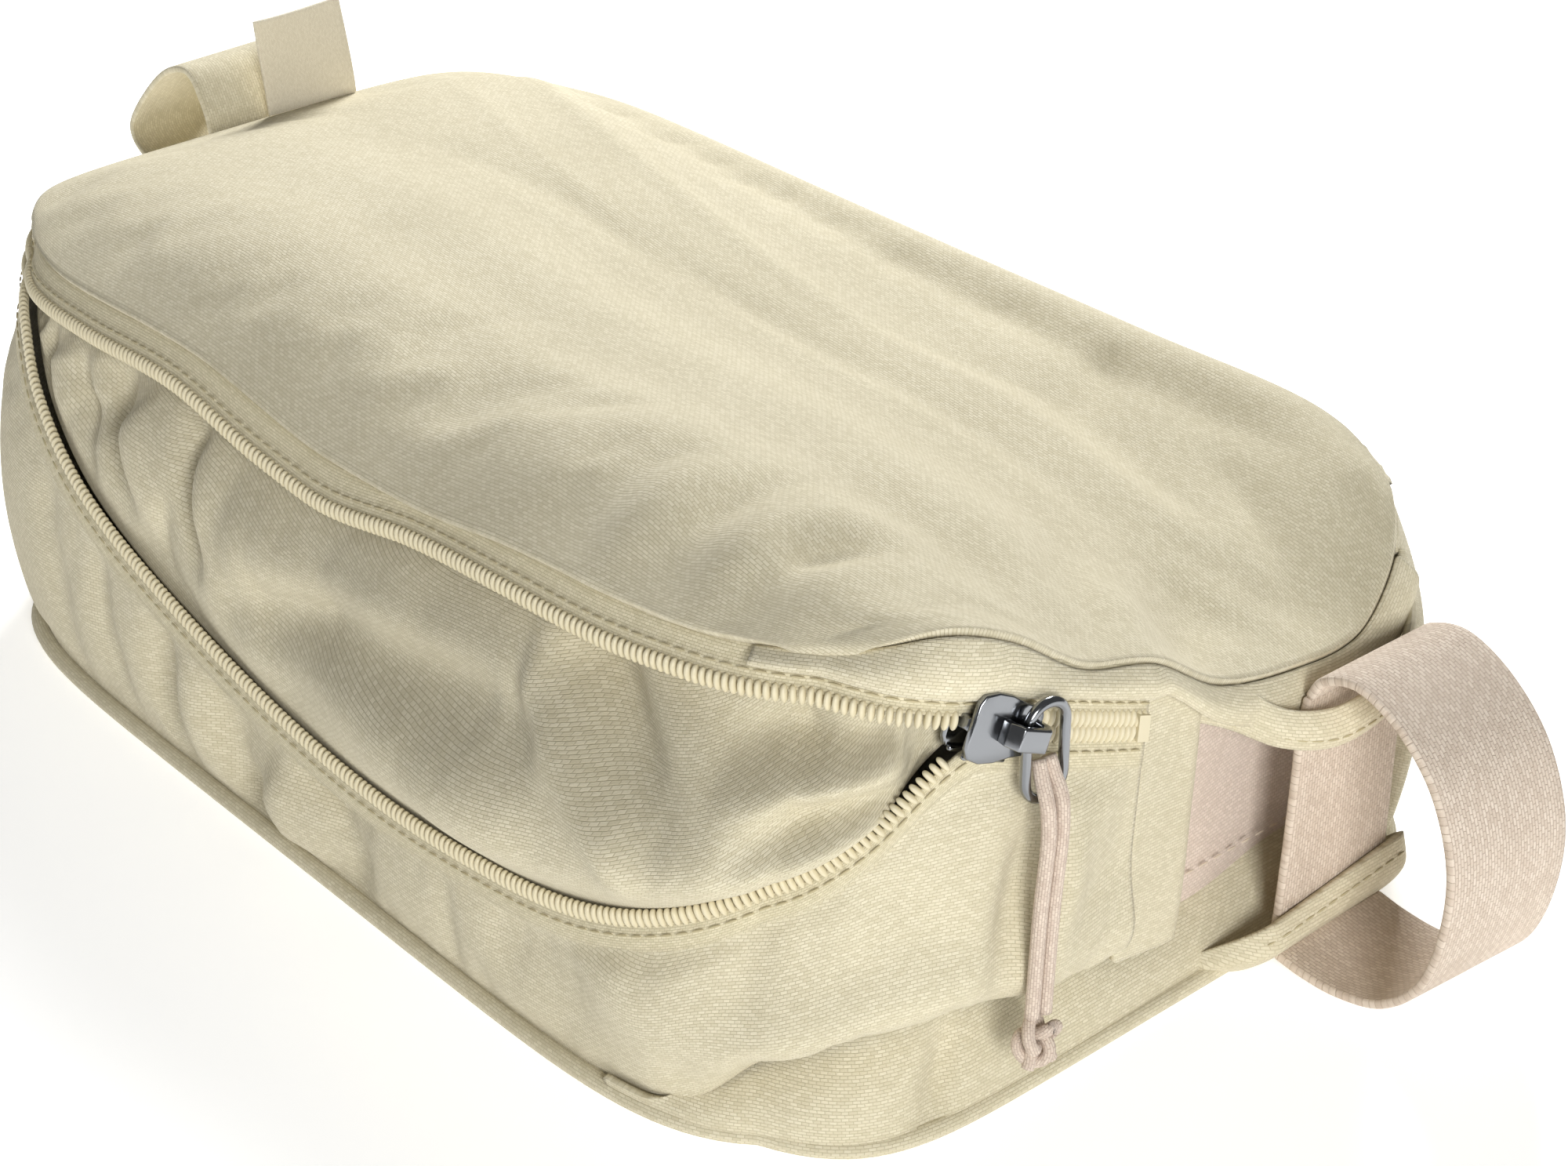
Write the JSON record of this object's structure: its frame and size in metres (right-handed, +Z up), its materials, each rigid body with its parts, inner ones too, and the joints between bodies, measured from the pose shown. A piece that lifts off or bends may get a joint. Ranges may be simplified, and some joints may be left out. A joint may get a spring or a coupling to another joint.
{
  "type": "packing pouch",
  "caption": "Soft box-shaped packing pouch with a zip-out expansion gusset, a webbing end handle, cord zip pulls and a fold-up hanging loop.",
  "frame": {"origin": "centre of the flat base, on the surface that the pouch stands on", "axes": "+X towards the end with the webbing handle, -Y the side with the open expansion gusset, +Z up"},
  "size_m": [0.313, 0.1695, 0.0911],
  "materials": {
    "body_fabric": "sand brushed twill",
    "canvas": "coarse plain-weave canvas",
    "webbing": "ribbed webbing, 25 mm",
    "zip_tape": "woven zip tape",
    "zip_coil": "moulded polyester coil",
    "nickel": "polished nickel plate",
    "cord": "braided cord, 2.2 mm",
    "foam": "soft foam",
    "lining": "plain woven lining",
    "board": "thin stiffener sheet",
    "label": "satin ribbon"
  },
  "bodies": {
    "pouch": {"base_board": "board", "base_panel": "body_fabric", "base_piping_gusset_side": "body_fabric", "base_piping_hidden_side": "body_fabric", "end_canvas": "canvas", "end_fascia": "body_fabric", "end_fascia_gusset_side": "body_fabric", "end_fold_gusset_side": "body_fabric", "end_fold_hidden_side": "body_fabric", "end_handle_lower_root": "webbing", "end_handle_upper_root": "webbing", "end_strap": "webbing", "expansion_gusset": "body_fabric", "far_seam_panel": "body_fabric", "gusset_side_wall": "body_fabric", "gusset_zip_closed_chain": "zip_coil", "gusset_zip_end_stop": "nickel", "gusset_zip_lower_coil": "zip_coil", "gusset_zip_lower_tape": "zip_tape", "gusset_zip_upper_coil": "zip_coil", "gusset_zip_upper_tape": "zip_tape", "hidden_corner_wall": "body_fabric", "hidden_far_wall": "body_fabric", "hidden_side_lower_wall": "body_fabric", "hidden_side_upper_wall": "body_fabric", "main_zip_chain": "zip_coil", "main_zip_far_end_stop": "nickel", "main_zip_handle_end_stop": "nickel", "main_zip_lower_tape": "zip_tape", "main_zip_upper_tape": "zip_tape", "strap_keeper": "body_fabric", "top_foam": "foam", "top_lining": "lining", "top_panel": "body_fabric"},
    "gusset_slider": {"gusset_zip_slider": "nickel"},
    "gusset_ring": {"gusset_zip_ring": "nickel"},
    "gusset_pull": {"gusset_zip_pull_cord_left": "cord", "gusset_zip_pull_cord_right": "cord", "gusset_zip_pull_knot": "cord"},
    "main_slider": {"main_zip_slider": "nickel"},
    "main_ring": {"main_zip_ring": "nickel"},
    "main_pull": {"main_zip_pull_cord_left": "cord", "main_zip_pull_cord_right": "cord", "main_zip_pull_knot": "cord"},
    "handle": {"end_handle": "webbing"},
    "far_loop": {"far_loop": "body_fabric"},
    "label": {"side_label": "label"}
  },
  "joints": [
    {"name": "gusset_zip_slide", "type": "slide", "parent": "pouch", "child": "gusset_slider", "axis": [0.0312, 0.9219, -0.3862], "range_m": [0, 0.018], "deforming": ["gusset_zip_closed_chain"]},
    {"name": "gusset_ring_swing", "type": "hinge", "parent": "gusset_slider", "child": "gusset_ring", "pos_m": [0.12448, -0.03943, 0.06917], "axis": [0, 0, 1], "range_deg": [-90, 0]},
    {"name": "gusset_pull_swing", "type": "hinge", "parent": "gusset_ring", "child": "gusset_pull", "pos_m": [0.1248, -0.03615, 0.05797], "axis": [0.0986, 0.9951, 0], "range_deg": [-20, 0]},
    {"name": "main_zip_slide", "type": "slide", "parent": "pouch", "child": "main_slider", "axis": [1, 0, 0], "range_m": [0, 0.128], "deforming": ["main_zip_chain"]},
    {"name": "main_ring_swing", "type": "hinge", "parent": "main_slider", "child": "main_ring", "pos_m": [-0.06244, 0.07573, 0.05579], "axis": [0, -0.4067, 0.9135], "range_deg": [-110, 0]},
    {"name": "main_pull_swing", "type": "hinge", "parent": "main_ring", "child": "main_pull", "pos_m": [-0.06574, 0.08029, 0.04556], "axis": [-1, 0, 0], "range_deg": [-45, 0]},
    {"name": "handle_sway", "type": "hinge", "parent": "pouch", "child": "handle", "pos_m": [0.11236, 0.0315, 0.026], "axis": [0, 0, 1], "range_deg": [-15, 15], "stiffness_Nm_per_rad": 0.02},
    {"name": "far_loop_fold", "type": "hinge", "parent": "pouch", "child": "far_loop", "pos_m": [-0.1239, 0, 0.067], "axis": [0, 1, 0], "range_deg": [-20, 10], "stiffness_Nm_per_rad": 0.03},
    {"name": "label_fold", "type": "hinge", "parent": "pouch", "child": "label", "pos_m": [-0.123, 0.012, 0.072], "axis": [0, 1, 0], "range_deg": [-25, 0], "stiffness_Nm_per_rad": 0.005}
  ]
}
